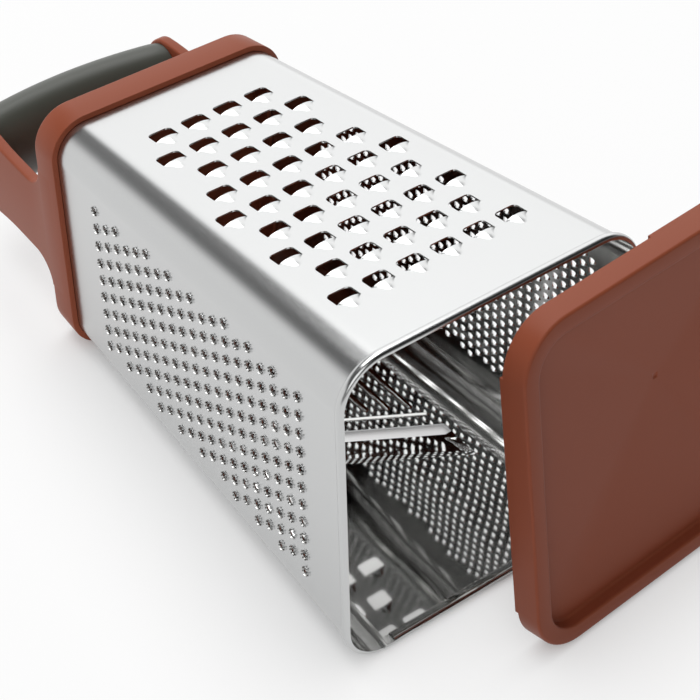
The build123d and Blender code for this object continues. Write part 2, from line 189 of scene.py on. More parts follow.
@dataclass(frozen=True)
class TubeForm:
    """Sizes of the tapered steel tube over the sheet, in millimetres."""

    open_width: float = 103.0
    open_depth: float = 108.0
    neck_width: float = 82.1
    neck_depth: float = 83.0
    neck_height: float = 156.0
    open_corner: float = 14.0
    neck_corner: float = 11.0
    sheet: float = 0.5
    sheet_top: float = 164.6
    bead_height: float = 3.2
    bead_overhang: float = 1.0
    band_top: float = 168.0
    band_overhang: float = 2.0

    def _taper(self, low: float, high: float, height: float) -> float:
        return low - (low - high) * height / self.neck_height

    def width(self, height: float, reach: float = 0.0) -> float:
        """Width at a height up the tube, set out by reach on each side."""
        return self._taper(self.open_width, self.neck_width, height) + 2 * reach

    def depth(self, height: float, reach: float = 0.0) -> float:
        """Depth at a height up the tube, set out by reach on each side."""
        return self._taper(self.open_depth, self.neck_depth, height) + 2 * reach

    def corner(self, height: float, reach: float = 0.0) -> float:
        """Radius round the corners at a height up the tube, set out by reach."""
        return self._taper(self.open_corner, self.neck_corner, height) + reach

    def lean(self, side: Side) -> float:
        """Angle between a face and the tube's axis."""
        if side in (Side.FINE, Side.RASP):
            return math.atan((self.open_width - self.neck_width) / 2 / self.neck_height)
        return math.atan((self.open_depth - self.neck_depth) / 2 / self.neck_height)

    def flat_half(self, side: Side, height: float) -> float:
        """Half the width of a face's flat part at a height up the tube."""
        across = self.depth(height) if side in (Side.FINE, Side.RASP) else self.width(height)
        return across / 2 - self.corner(height)

    def ring(self, height: float, reach: float, steps: int = 14) -> list[Vector]:
        """Closed outline round the tube, set out from the sheet's outside by reach, anticlockwise from +X."""
        return [point for turn in range(4) for point in self.corner_points(height, reach, turn, steps)]

    def corner_points(
        self, height: float, reach: float, turn: int, steps: int, flat: float = 0.0
    ) -> list[Vector]:
        """Points round one corner, with a short flat run at both ends where flat is above 0."""
        sizes = self.width(height, reach), self.depth(height, reach), self.corner(height, reach)
        return [Vector((x, y, height)) for x, y in round_corner(*sizes, turn, steps, flat)]

    def placement(self) -> Matrix:
        """Matrix from the tube's axes in millimetres to the row frame in metres."""
        cosine, sine = math.cos(LIE_ANGLE), math.sin(LIE_ANGLE)
        reach = self.open_depth / 2 + self.bead_overhang
        origin = Vector((0, 0, reach * cosine + BEAD_REST * sine)) + ORIGIN_SHIFT
        turn = Matrix(((1, 0, 0), (0, -sine, cosine), (0, -cosine, -sine))).to_4x4()
        return Matrix.Scale(MILLIMETRE, 4) @ Matrix.Translation(origin) @ turn

    def face(self, side: Side) -> Matrix:
        """Matrix from a face's axes, X across, Y up its slope and Z outward, to the row frame."""
        turn = math.radians(side.value)
        out = Vector((math.cos(turn), math.sin(turn), 0))
        across = Vector((-math.sin(turn), math.cos(turn), 0))
        lean = self.lean(side)
        normal = out * math.cos(lean) + Vector((0, 0, math.sin(lean)))
        slope = normal.cross(across)
        reach = (self.open_width if side in (Side.FINE, Side.RASP) else self.open_depth) / 2
        basis = Matrix((across, slope, normal)).transposed().to_4x4()
        return self.placement() @ Matrix.Translation(out * reach) @ basis


def ease(share: float) -> float:
    """Smooth step from 0 to 1."""
    return share * share * (3 - 2 * share)


def arc(
    x: float, y: float, radius: float, start: float, sweep: float, steps: int, high: float | None = None
) -> list[Place2]:
    """Points of an arc round x, y; high is its radius along Y where that differs."""
    rise = radius if high is None else high
    angles = [start + sweep * step / steps for step in range(steps + 1)]
    return [(x + radius * math.cos(angle), y + rise * math.sin(angle)) for angle in angles]


def round_corner(
    width: float, depth: float, corner: float, turn: int, steps: int, flat: float = 0.0
) -> list[Place2]:
    """Points round one corner of a rounded rectangle, anticlockwise."""
    side_x, side_y = ((1, 1), (-1, 1), (-1, -1), (1, -1))[turn]
    centre_x = side_x * (width / 2 - corner)
    centre_y = side_y * (depth / 2 - corner)
    start = QUARTER * turn
    points = arc(centre_x, centre_y, corner, start, QUARTER, steps)
    if flat:
        first, last = points[0], points[-1]
        points.insert(0, (first[0] + flat * math.sin(start), first[1] - flat * math.cos(start)))
        end = start + QUARTER
        points.append((last[0] - flat * math.sin(end), last[1] + flat * math.cos(end)))
    return points


def round_outline(width: float, depth: float, corner: float, steps: int = 14) -> list[Place2]:
    """Closed outline of a rounded rectangle, anticlockwise."""
    return [point for turn in range(4) for point in round_corner(width, depth, corner, turn, steps)]


class Skin:
    """Vertices and faces of one piece while it is drawn.

    Each face carries a mark: 0 for the piece's outside finish and 1 for its inside finish.
    """

    def __init__(self) -> None:
        self.points: list[Vector] = []
        self.faces: list[tuple[list[int], int]] = []

    def add(self, points: list) -> list[int]:
        """Adds points, each a vector or three numbers, and returns their numbers in the mesh."""
        first = len(self.points)
        self.points += [Vector(point) for point in points]
        return list(range(first, len(self.points)))

    def bridge(self, low: list[int], high: list[int], closed: bool = True, mark: int = 0) -> None:
        """Quads between two rows of equal length, which close on themselves where closed is set."""
        count = len(low)
        for index in range(count if closed else count - 1):
            follow = (index + 1) % count
            self.faces.append(([low[index], low[follow], high[follow], high[index]], mark))

    def stack(self, rings: list[list], closed: bool = True, mark: int = 0) -> list[list[int]]:
        """Skins a list of rings one after another and returns their numbers."""
        rows = [self.add(ring) for ring in rings]
        for low, high in zip(rows, rows[1:]):
            self.bridge(low, high, closed, mark)
        return rows

    def fill(self, ring: list[int], mark: int = 0) -> None:
        """One flat face over a ring."""
        self.faces.append((list(ring), mark))

    def mesh(self, name: str) -> bpy.types.Mesh:
        """The mesh in millimetres, with its faces turned outward."""
        mesh = bpy.data.meshes.new(name)
        mesh.from_pydata(self.points, [], [face for face, _ in self.faces])
        mesh.polygons.foreach_set("material_index", [mark for _, mark in self.faces])
        return mend(mesh, 1e-5)


def mend(mesh: bpy.types.Mesh, distance: float, by_normal: bool = False) -> bpy.types.Mesh:
    """Joins doubled points and turns faces outward; by_normal marks those that look down as inside."""
    work = bmesh.new()
    work.from_mesh(mesh)
    bmesh.ops.remove_doubles(work, verts=work.verts, dist=distance)
    bmesh.ops.recalc_face_normals(work, faces=work.faces)
    if by_normal:
        for face in work.faces:
            face.material_index = 1 if face.normal.z < -0.5 else 0
    work.to_mesh(mesh)
    work.free()
    return mesh


def link(name: str, mesh: bpy.types.Mesh) -> bpy.types.Object:
    """A new object of a mesh, in the scene."""
    obj = bpy.data.objects.new(name, mesh)
    bpy.context.scene.collection.objects.link(obj)
    return obj


def evaluated_mesh(obj: bpy.types.Object) -> bpy.types.Mesh:
    """Plain mesh of an object with its modifiers."""
    bpy.context.view_layer.update()
    graph = bpy.context.evaluated_depsgraph_get()
    return bpy.data.meshes.new_from_object(obj.evaluated_get(graph))


def plate_mesh(
    name: str, outline: list[Place2], holes: list[list[Place2]], thickness: float, edge: float = 0.0
) -> bpy.types.Mesh:
    """Flat plate with holes, from its outside at 0 down to -thickness."""
    curve = bpy.data.curves.new(name, "CURVE")
    curve.dimensions = "2D"
    curve.fill_mode = "BOTH"
    curve.extrude = thickness / 2 - edge
    if edge:
        curve.bevel_depth = edge
        curve.bevel_resolution = 3
        curve.offset = -edge
    for ring in [outline, *holes]:
        spline = curve.splines.new("POLY")
        spline.points.add(len(ring) - 1)
        for point, (x, y) in zip(spline.points, ring):
            point.co = (x, y, 0, 1)
        spline.use_cyclic_u = True
    holder = link(name, curve)
    mesh = evaluated_mesh(holder)
    bpy.data.objects.remove(holder)
    bpy.data.curves.remove(curve)
    mesh.transform(Matrix.Translation((0, 0, -thickness / 2)))
    return mend(mesh, 1e-4, by_normal=True)


def settle(
    mesh: bpy.types.Mesh,
    name: str,
    place: Matrix,
    body: Body,
    slot: Slot,
    materials: list[bpy.types.Material],
    *nodes: str,
) -> bpy.types.Object:
    """Places a drawn piece in the row frame, parents it to its body's empty and hides the imported parts it
    stands for.
    """
    mesh.transform(place)
    for material in materials:
        mesh.materials.append(material)
    mesh.shade_smooth()
    mesh.set_sharp_from_angle(angle=SMOOTH_LIMIT)
    obj = link(name, mesh)
    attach(obj, body.value)
    if nodes:
        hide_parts(*nodes)
    log.info("%s: %d faces", name, len(mesh.polygons))
    return obj


class Scatter:
    """Geometry Nodes tree that puts one pressed piece on every place of a face."""

    def __init__(self) -> None:
        tree = bpy.data.node_groups.new("scatter_pressings", "GeometryNodeTree")
        self.tree = tree
        kinds = {"Places": "Geometry", "Piece": "Object", "Turn": "Float", "Spread": "Float"}
        kinds |= {"Outside": "Material", "Inside": "Material"}
        for name, kind in kinds.items():
            tree.interface.new_socket(name, in_out="INPUT", socket_type="NodeSocket" + kind)
        tree.interface.new_socket("Pressings", in_out="OUTPUT", socket_type="NodeSocketGeometry")
        add = tree.nodes.new
        given, leave = add("NodeGroupInput").outputs, add("NodeGroupOutput")
        info = preset(add("GeometryNodeObjectInfo"), {"As Instance": True})
        turn = preset(add("FunctionNodeRandomValue"), {"Seed": TURN_SEED})
        size = preset(add("FunctionNodeRandomValue"), {"Seed": SIZE_SEED})
        angles = add("ShaderNodeCombineXYZ")
        instance = add("GeometryNodeInstanceOnPoints")
        realize = add("GeometryNodeRealizeInstances")
        mark = add("GeometryNodeInputNamedAttribute")
        mark.data_type = "BOOLEAN"
        mark.inputs["Name"].default_value = "inside"
        outside, inside = add("GeometryNodeSetMaterial"), add("GeometryNodeSetMaterial")
        wire(
            tree,
            (given["Places"], instance.inputs["Points"]),
            (given["Piece"], info.inputs["Object"]),
            (info.outputs["Geometry"], instance.inputs["Instance"]),
            (math_node(tree, "MULTIPLY", given["Turn"], -1.0), turn.inputs[2]),
            (given["Turn"], turn.inputs[3]),
            (turn.outputs[1], angles.inputs["Z"]),
            (angles.outputs["Vector"], instance.inputs["Rotation"]),
            (math_node(tree, "SUBTRACT", 1.0, given["Spread"]), size.inputs[2]),
            (math_node(tree, "ADD", 1.0, given["Spread"]), size.inputs[3]),
            (size.outputs[1], instance.inputs["Scale"]),
            (instance.outputs["Instances"], realize.inputs["Geometry"]),
            (realize.outputs["Geometry"], outside.inputs["Geometry"]),
            (given["Outside"], outside.inputs["Material"]),
            (outside.outputs["Geometry"], inside.inputs["Geometry"]),
            (mark.outputs["Attribute"], inside.inputs["Selection"]),
            (given["Inside"], inside.inputs["Material"]),
            (inside.outputs["Geometry"], leave.inputs["Pressings"]),
        )

    def press(
        self,
        name: str,
        piece: bpy.types.Mesh,
        places: list[Place2],
        place: Matrix,
        materials: list[bpy.types.Material],
        turn: float = 0.0,
        spread: float = 0.0,
    ) -> bpy.types.Object:
        """Presses one piece into a face at every place."""
        flags = piece.attributes.new("inside", "BOOLEAN", "FACE")
        flags.data.foreach_set("value", [polygon.material_index == 1 for polygon in piece.polygons])
        piece.polygons.foreach_set("material_index", [0] * len(piece.polygons))
        sample = link(name + "_sample", piece)
        cloud = bpy.data.meshes.new(name + "_places")
        cloud.from_pydata([(u, v, 0) for u, v in places], [], [])
        holder = link(name + "_places", cloud)
        modifier = holder.modifiers.new("scatter", "NODES")
        modifier.node_group = self.tree
        values = {"Piece": sample, "Turn": turn, "Spread": spread}
        values |= {"Outside": materials[0], "Inside": materials[1]}
        for item in self.tree.interface.items_tree:
            if item.item_type == "SOCKET" and item.in_out == "INPUT" and item.name in values:
                modifier[item.identifier] = values[item.name]
        result = evaluated_mesh(holder)
        for leftover in (holder, sample):
            bpy.data.objects.remove(leftover)
        return settle(result, name, place, Body.GRATER, Slot.STEEL, [])


@dataclass(frozen=True)
class BladeForm:
    """One raised blade: a broad cutting edge that faces the handle, and a rounded dome behind it."""

    width: float
    length: float
    rise: float
    sheet: float
    mouth: float
    mouth_corner: float
    core: float
    shoulder: float
    arch_steps: int = 20
    length_steps: int = 10
    overlap: float = 0.008
    inset: float = 0.08
    least_half: float = 0.05

    def near_edge(self, share: float) -> float:
        """How much of the broad edge is left at a share of the length, from 1 down to 0."""
        return max(0.0, 1 - share * self.length / self.shoulder) ** 2

    def half_at(self, share: float) -> float:
        """Half the dome's width at a share of its length from the edge."""
        return self.core * math.sqrt(1 - share**2) + (self.width / 2 - self.core) * self.near_edge(share)

    def rise_at(self, share: float) -> float:
        """The dome's height at a share of its length from the edge."""
        return self.rise * (1 - share**1.9) ** 1.25

    def shares(self) -> list[float]:
        """Shares of the length at which the dome is drawn, closer together at both ends."""
        angles = [math.pi * step / self.length_steps for step in range(self.length_steps + 1)]
        return [0.5 - 0.5 * math.cos(angle) for angle in angles]

    def mesh(self, name: str) -> bpy.types.Mesh:
        """The dome with its hollow, standing over its hole in the sheet."""
        skin = Skin()
        under = -self.sheet - self.overlap
        rows = skin.stack([self._arch(share, self.overlap) for share in self.shares()], closed=False)
        hollows = skin.stack([self._arch(share, under) for share in self.shares()], False, 1)
        skin.bridge(rows[0], hollows[0], closed=False)
        return skin.mesh(name)

    def _arch(self, share: float, foot: float) -> list[Vector]:
        half, rise = self.half_at(share), self.rise_at(share)
        points = []
        for step in range(self.arch_steps + 1):
            across = math.sin(QUARTER * (2 * step / self.arch_steps - 1))
            lift = rise * (1 - abs(across) ** 2.2) ** 1.15
            points.append(Vector((half * across, -self.length * share, foot + lift)))
        return points

    def hole(self, place: Place2) -> list[Place2]:
        """Outline of the hole under the dome and in front of its edge."""
        u, v = place
        half, top = self.width / 2 - self.inset - self.mouth_corner, self.mouth - self.mouth_corner
        points = arc(half, top, self.mouth_corner, 0, QUARTER, 4)
        points += arc(-half, top, self.mouth_corner, QUARTER, QUARTER, 4)
        far = self.length - self.inset
        sides = [
            (max(self.half_at(share) - self.inset, self.least_half), -far * share)
            for share in self.shares()[:-1]
        ]
        points += [(-x, y) for x, y in sides] + [(0.0, -far)] + sides[::-1]
        return [(u + x, v + y) for x, y in points]


@dataclass(frozen=True)
class StarForm:
    """One rasp hole with a crown of torn teeth that stand up round it."""

    foot: float = 1.9
    throat: float = 1.5
    tip: float = 1.66
    rise: float = 0.58
    teeth: int = 9
    sheet: float = 0.5

    def mesh(self, name: str) -> bpy.types.Mesh:
        """The crown: torn flaps bent out round the hole, each with its outside and its inside."""
        skin = Skin()
        outer = [(self.foot, 0.0, 0.0), (self.throat + 0.18, 0.1, 0.0), (self.tip + 0.06, self.rise, 1.0)]
        inner = [(self.tip, self.rise, 1.0), (self.throat, 0.08, 0.0), (self.throat, -0.15, 0.0),
                 (self.throat + 0.2, -self.sheet - 0.01, 0.0)]
        rows = skin.stack([self._ring(*level) for level in outer])
        hollows = skin.stack([self._ring(*level) for level in inner], mark=1)
        skin.bridge(rows[-1], hollows[0], mark=1)
        return skin.mesh(name)

    def _ring(self, radius: float, height: float, torn: float) -> list[Vector]:
        """One ring of the crown; where it is torn, it falls back to the throat between the flaps."""
        count = self.teeth * 4
        points = []
        for index in range(count):
            angle = 2 * math.pi * index / count
            gap = torn * (0.0, 0.2, 1.0, 0.2)[index % 4]
            out = radius + gap * (self.throat + 0.06 - radius)
            up = height + gap * (0.12 - height)
            points.append(Vector((out * math.cos(angle), out * math.sin(angle), up)))
        return points

    def hole(self, place: Place2) -> list[Place2]:
        """Outline of the punched hole under the crown."""
        return arc(*place, self.throat + 0.22, 0, 2 * math.pi, 16)[:-1]


@dataclass(frozen=True)
class SlicerForm:
    """The slanted slicing blade, its crease and its guide ribs, in the slicing face's axes."""

    half: float = 31.5
    fall: float = math.radians(30)
    fold: float = 60.9
    lip: float = 10.9
    lip_end: float = 1.4
    lip_steps: int = 8
    across_steps: int = 40
    rise: float = 1.45
    slot: float = 3.4
    crease_width: float = 1.8
    crease_above: float = 3.8
    press: float = 0.7
    rib_count: int = 10
    rib_pitch: float = 6.06
    rib_width: float = 2.4
    rib_above: float = 10.0
    draft: float = 0.96
    rib_top: float = 133.0

    def on_line(self, height: float, across: float) -> float:
        """Height on a slanted line that crosses the face's middle at height."""
        return height + across * math.tan(self.fall)

    def stretch(self) -> float:
        """Length straight up the face for one unit square to the blade."""
        return 1 / math.cos(self.fall)

    def slot_top(self) -> float:
        """Height of the slot's upper edge at the face's middle."""
        return self.fold + (self.lip + self.slot) * self.stretch()

    def runs(self) -> list[tuple[Place2, Place2, float]]:
        """Ends and width of every pressed run: the ribs, then the crease."""
        runs = []
        for step in range(self.rib_count):
            across = (step - (self.rib_count - 1) / 2) * self.rib_pitch
            low = self.on_line(self.slot_top() + self.rib_above, across)
            runs.append(((across, low), (across, self.rib_top), self.rib_width))
        middle = self.slot_top() + (self.crease_above + self.crease_width / 2) * self.stretch()
        reach = self.half - self.crease_width
        ends = [(across, self.on_line(middle, across)) for across in (-reach, reach)]
        runs.append((ends[0], ends[1], self.crease_width))
        return runs


def capsule(start: Place2, end: Place2, radius: float, steps: int = 8) -> list[Place2]:
    """Closed outline at a distance round a straight line, anticlockwise."""
    along = math.atan2(end[1] - start[1], end[0] - start[0])
    head = arc(*end, radius, along - QUARTER, math.pi, steps)
    return head + arc(*start, radius, along + QUARTER, math.pi, steps)


@dataclass
class SteelBody:
    """The folded steel sheet: four working faces, four bends and the rolled bead."""

    tube: TubeForm
    palette: Palette
    scatter: Scatter
    seam_flat: float = 0.3
    seam_place: Place2 = (-40.9, 60.0)
    low_edge: float = 2.6
    fold_gap: float = 0.03
    fold_short: float = 2.5
    bead_inside: float = 0.52
    bead_bulge: float = 1.52
    bead_steps: int = 12
    finishes: list = field(default_factory=list)
    bright: list = field(default_factory=list)

    def build(self) -> None:
        """Draws every piece of the sheet."""
        self.finishes = [self.palette.get(SATIN_STEEL), self.palette.get(DULL_STEEL)]
        self.bright = [self.palette.get(SATIN_STEEL), self.palette.get(BRIGHT_STEEL)]
        self.coarse_face()
        self.rasp_face()
        self.fine_face()
        self.slicing_face()
        for turn, sides in enumerate(("slicer_fine", "slicer_rasp", "coarse_rasp", "coarse_fine")):
            self.bend(turn, "bend_" + sides, "corner_" + sides)
        self.bead()

    def outline(self, side: Side) -> list[Place2]:
        """Outline of a face between its bends."""
        lean = self.tube.lean(side)
        low, high = self.low_edge, self.tube.sheet_top
        low_half = self.tube.flat_half(side, low) - self.seam_flat
        high_half = self.tube.flat_half(side, high) - self.seam_flat
        low, high = low / math.cos(lean), high / math.cos(lean)
        return [(-low_half, low), (low_half, low), (high_half, high), (-high_half, high)]

    def plate(self, side: Side, name: str, holes: list[list[Place2]], node: str) -> None:
        """One flat face of the sheet with its holes."""
        mesh = plate_mesh(name, self.outline(side), holes, self.tube.sheet)
        finishes = self.bright if side is Side.SLICER else self.finishes
        settle(mesh, name, self.tube.face(side), Body.GRATER, Slot.STEEL, finishes, node)

    @staticmethod
    def rows(first: float, row: float, pitch: float, counts: list[int]) -> list[Place2]:
        """Places of staggered rows, each centred on the face, from the handle to the open end."""
        return [
            ((step - (count - 1) / 2) * pitch, first - index * row)
            for index, count in enumerate(counts)
            for step in range(count)
        ]

    def pattern(self, side: Side, name: str, piece: str, form, places: list[Place2], **vary: float) -> None:
        """One face with a hole and a pressing at every place."""
        self.plate(side, name + "_face", [form.hole(place) for place in places], name + "_panel")
        mesh, face = form.mesh(f"{name}_{piece}"), self.tube.face(side)
        self.scatter.press(f"{name}_{piece}s", mesh, places, face, self.finishes, **vary)

    def coarse_face(self) -> None:
        """The coarse shredding face."""
        form = BladeForm(8.2, 3.9, 0.85, self.tube.sheet, 5.4, 1.6, core=2.4, shoulder=2.0)
        places = self.rows(130.0, 13.0, 11.64, [4, 5, 4, 5, 6, 5, 6, 5, 6])
        self.pattern(Side.COARSE, "coarse", "blade", form, places)

    def rasp_face(self) -> None:
        """The rasp face with its stars of torn teeth."""
        counts = [9, 8, 9, 8, 9, 10, 9, 10, 9, 10, 9, 10, 11, 10, 11, 10, 11, 10, 11]
        places = self.rows(133.8, 6.24, 6.52, counts)
        self.pattern(Side.RASP, "rasp", "star", StarForm(), places, turn=0.12, spread=0.04)

    def fine_face(self) -> None:
        """The fine shredding face."""
        form = BladeForm(
            2.3, 1.4, 0.6, 0.35, 1.3, 0.4, core=0.95, shoulder=0.5, arch_steps=8, length_steps=4
        )
        pitch, row, first, rows, margin = 3.55, 3.44, 133.1, 35, 5.5
        places = []
        for index in range(rows):
            height = first - index * row
            half = self.tube.flat_half(Side.FINE, height) - margin
            count = int(2 * half / pitch) + 1
            shift = pitch / 3 * (index % 3 - 1)
            places += [((step - (count - 1) / 2) * pitch + shift, height) for step in range(count)]
        self.pattern(Side.FINE, "fine", "blade", form, places)

    def slicing_face(self) -> None:
        """The slicing face: its slanted lip, its crease and its guide ribs."""
        form = SlicerForm()
        sheet = self.tube.sheet
        low, high, half = form.fold, form.slot_top(), form.half
        corners = ((-half, low), (half, low), (half, high), (-half, high))
        slot = [(across, form.on_line(height, across)) for across, height in corners]
        holes = [slot] + [capsule(start, end, width / 2) for start, end, width in form.runs()]
        self.plate(Side.SLICER, "slicing_face", holes, "slicer_panel")
        pressings = Skin()
        for start, end, width in form.runs():
            radius = width / 2
            steps = [(1.0, 0.0), (0.85, 0.12), (0.6, 0.8), (0.35, 1.0)]
            tops, unders = [], []
            for share, lift in steps:
                height = form.press * lift
                tops.append(self._lifted(capsule(start, end, radius * share), height))
                unders.append(self._lifted(capsule(start, end, radius * share * form.draft), height - sheet))
            pressings.fill(pressings.stack(tops)[-1])
            pressings.fill(pressings.stack(unders, mark=1)[-1], mark=1)
        lips = [self._lip_row(form, step / form.lip_steps) for step in range(form.lip_steps + 1)]
        upper = pressings.stack(lips, closed=False)
        under = pressings.stack([[point - Vector((0, 0, sheet)) for point in row] for row in lips], False, 1)
        pressings.bridge(upper[-1], under[-1], closed=False)
        settle(
            pressings.mesh("slicing_lip_and_ribs"), "slicing_lip_and_ribs", self.tube.face(Side.SLICER),
            Body.GRATER, Slot.STEEL, self.bright,
        )

    @staticmethod
    def _lifted(outline: list[Place2], height: float) -> list[Vector]:
        return [Vector((x, y, height)) for x, y in outline]

    @staticmethod
    def _lip_row(form: SlicerForm, share: float) -> list[Vector]:
        points = []
        for step in range(form.across_steps + 1):
            across = form.half * (2 * step / form.across_steps - 1)
            ends = ease(min(1.0, (form.half - abs(across)) / form.lip_end))
            lift = form.rise * share * min(1.0, share * 3) ** 0.5 * ends
            height = form.on_line(form.fold + form.lip * form.stretch() * share, across)
            points.append(Vector((across, height, lift)))
        return points

    def bend(self, turn: int, node: str, name: str) -> None:
        """The sheet's bend at one corner, from the bead up into the band."""
        skin = Skin()
        rows = []
        for mark, reach in enumerate((0.0, -self.tube.sheet)):
            levels = [
                self.tube.corner_points(level, reach, turn, 16, self.seam_flat)
                for level in (self.low_edge, self.tube.sheet_top)
            ]
            rows.append(skin.stack(levels, closed=False, mark=mark))
        for outside, inside in zip(*rows):
            skin.bridge(outside, inside, closed=False)
        self._put(skin.mesh(node), name, self.finishes, node)

    def _put(self, mesh: bpy.types.Mesh, name: str, finishes: list, *nodes: str) -> None:
        settle(mesh, name, self.tube.placement(), Body.GRATER, Slot.STEEL, finishes, *nodes)

    def bead(self) -> None:
        """The rolled rim, open at its seam, with the flat folds inside its straight sides."""
        skin = Skin()
        half, steps = self.tube.bead_height / 2, self.bead_steps
        profile = []
        for step in range(steps + 1):
            angle = math.pi * (step / steps - 0.5)
            bulge = self.bead_bulge * math.cos(angle) ** 0.7 if 0 < step < steps else 0.0
            profile.append((bulge - self.bead_inside, half * (1 + math.sin(angle))))
        rows = skin.stack([self._open_loop(reach, height) for reach, height in profile], closed=False)
        skin.bridge(rows[-1], rows[0], closed=False, mark=1)
        for end in (0, -1):
            skin.fill([row[end] for row in rows])
        self._put(skin.mesh("rim_roll"), "rim_roll", self.finishes, "rim_bead")
        folds = Skin()
        for turn in range(4):
            self._fold(folds, turn)
        self._put(folds.mesh("rim_folds"), "rim_folds", self.bright[1:])

    def _open_loop(self, reach: float, height: float) -> list[Vector]:
        loop = self.tube.ring(height, reach, 20)
        near = Vector((*self.seam_place, height))
        seam = min(range(len(loop)), key=lambda index: (loop[index] - near).length)
        loop = loop[seam:] + loop[:seam]
        first, last = loop[0], loop[-1]
        gap = min(0.45, 0.2 / (last - first).length)
        return [first.lerp(last, 0.5 - gap), *loop, last.lerp(first, 0.5 - gap)]

    def _fold(self, skin: Skin, turn: int) -> None:
        across = turn % 2 == 1
        tube = self.tube
        span = (tube.open_width if across else tube.open_depth) / 2 - tube.open_corner - self.fold_short
        reach = (tube.open_depth if across else tube.open_width) / 2 - tube.sheet
        spin = Matrix.Rotation(QUARTER * turn, 3, "Z")
        lean = tube.lean(Side.COARSE if across else Side.FINE)
        profile = [(0.0, 0.5), (-0.35, 0.42), (-0.5, 0.7), (-0.5, 3.0), (-0.35, 3.2), (0.0, 3.2)]
        inside, slant = reach - self.fold_gap, math.tan(lean)
        ends = []
        for place in (-span, span):
            section = [(inside + out - slant * height, place, height) for out, height in profile]
            ends.append([spin @ Vector(point) for point in section])
        rows = skin.stack(ends)
        for row in rows:
            skin.fill(row)


@dataclass
class TopFrame:
    """The moulded top: the band round the neck, the deck inside it and the two arms."""

    tube: TubeForm
    palette: Palette

    def build(self) -> None:
        """Draws the band, the deck and both arms."""
        self.band()
        self.deck()
        self.arm(Side.FINE, "right_arm")
        self.arm(Side.RASP, "left_arm")

    def _ring_piece(self, name: str, loops: list[tuple[float, float]], closed_profile: bool) -> None:
        skin = Skin()
        rows = skin.stack([self.tube.ring(height, reach) for reach, height in loops])
        if closed_profile:
            skin.bridge(rows[-1], rows[0])
        else:
            skin.fill(rows[0])
            skin.fill(rows[-1])
        settle(skin.mesh(name), name + "_moulding", self.tube.placement(), Body.GRATER, Slot.PLASTIC,
               [self.palette.get(TERRACOTTA)], name)

    def band(self) -> None:
        """The band, its upper edge rounded over to the deck."""
        low, top, out = self.tube.neck_height, self.tube.band_top, self.tube.band_overhang
        rounding = 1.1
        loops = [(0.1, low), (out - 0.35, low), (out - 0.1, low + 0.1), (out, low + 0.4)]
        loops += arc(out - rounding, top - rounding, rounding, 0, QUARTER, 6)
        loops += [(0.0, self.tube.sheet_top + 0.1), (0.1, self.tube.sheet_top)]
        self._ring_piece("top_band", loops, True)

    def deck(self) -> None:
        """The deck, with its spigot down inside the sheet."""
        top, seat = self.tube.band_top, self.tube.sheet_top + 0.1
        inside = -self.tube.sheet - 0.1
        foot = self.tube.sheet_top - 6.0
        loops = [(-6.0, top), (0.0, top), (0.0, seat), (inside, seat), (inside, foot + 0.3)]
        loops += [(inside - 0.3, foot), (inside - 1.3, foot), (inside - 1.5, foot + 0.2)]
        loops += [(inside - 1.5, top - 3.4), (inside - 1.9, top - 3.0)]
        self._ring_piece("top_deck", loops, False)

    def arm(self, side: Side, node: str) -> None:
        """One arm, flush with the band, flaring into its foot and its rounded head."""
        lean = self.tube.lean(side)
        slope = 1 / math.cos(lean)
        half, foot_radius, head_half, head_rise = 14.0, 9.0, 16.0, 11.0
        foot, waist, head = self.tube.band_top * slope, 196.0 * slope, 215.0 * slope
        start, foot_centre = waist - 6, (half + foot_radius, foot + foot_radius)
        right = [(half + foot_radius, 160.0)]
        right += arc(*foot_centre, foot_radius, -QUARTER, -QUARTER, 10) + [(half, start)]
        for step in range(1, 7):
            share = step / 6
            right.append((half + (head_half - half) * ease(share), start + (head - start) * share))
        right += arc(0.0, head, head_half, 0, QUARTER, 16, head_rise)[1:]
        left = [(-x, y) for x, y in reversed(right[:-1])]
        mesh = plate_mesh(node, right + left, [], 4.0, edge=0.8)
        for polygon in mesh.polygons:
            polygon.material_index = 0
        lift = Matrix.Translation((0, 0, self.tube.band_overhang + 0.01))
        settle(mesh, node + "_moulding", self.tube.face(side) @ lift, Body.GRATER, Slot.PLASTIC,
               [self.palette.get(TERRACOTTA)], node)


@dataclass
class Grip:
    """The bowed oval grip between the arms, and the bar inside it."""

    tube: TubeForm
    palette: Palette
    half_across: float = 15.0
    half_up: float = 10.0
    end_height: float = 215.0
    bow: float = 4.0
    across_steps: int = 24
    round_steps: int = 56

    def build(self) -> None:
        """Draws the grip; the bar inside it keeps its imported shape and takes the terracotta material."""
        skin = Skin()
        reach = self.tube.width(self.end_height) / 2 + self.tube.band_overhang - 4.1
        loops = []
        for step in range(self.across_steps + 1):
            share = 2 * step / self.across_steps - 1
            height = self.end_height + self.bow * (1 - share * share)
            close = 1.0 - 0.02 * (abs(share) > 0.999)
            lean = -math.tan(self.tube.lean(Side.FINE)) * (share if abs(share) > 0.999 else 0.0)
            turns = range(self.round_steps)
            loops.append([self._point(reach * share, height, close, lean, turn) for turn in turns])
        rows = skin.stack(loops)
        skin.fill(rows[0])
        skin.fill(rows[-1])
        settle(skin.mesh("grip"), "grip_sleeve", self.tube.placement(), Body.GRATER, Slot.GRIP,
               [self.palette.get(GREY_GRIP)], "grip")
        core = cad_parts["grip_core"]
        core.data.materials.clear()
        core.data.materials.append(self.palette.get(TERRACOTTA))

    def _point(self, across: float, height: float, close: float, lean: float, turn: int) -> Vector:
        angle = 2 * math.pi * turn / self.round_steps
        up = self.half_up * close * math.sin(angle)
        return Vector((across + lean * up, self.half_across * close * math.cos(angle), height + up))


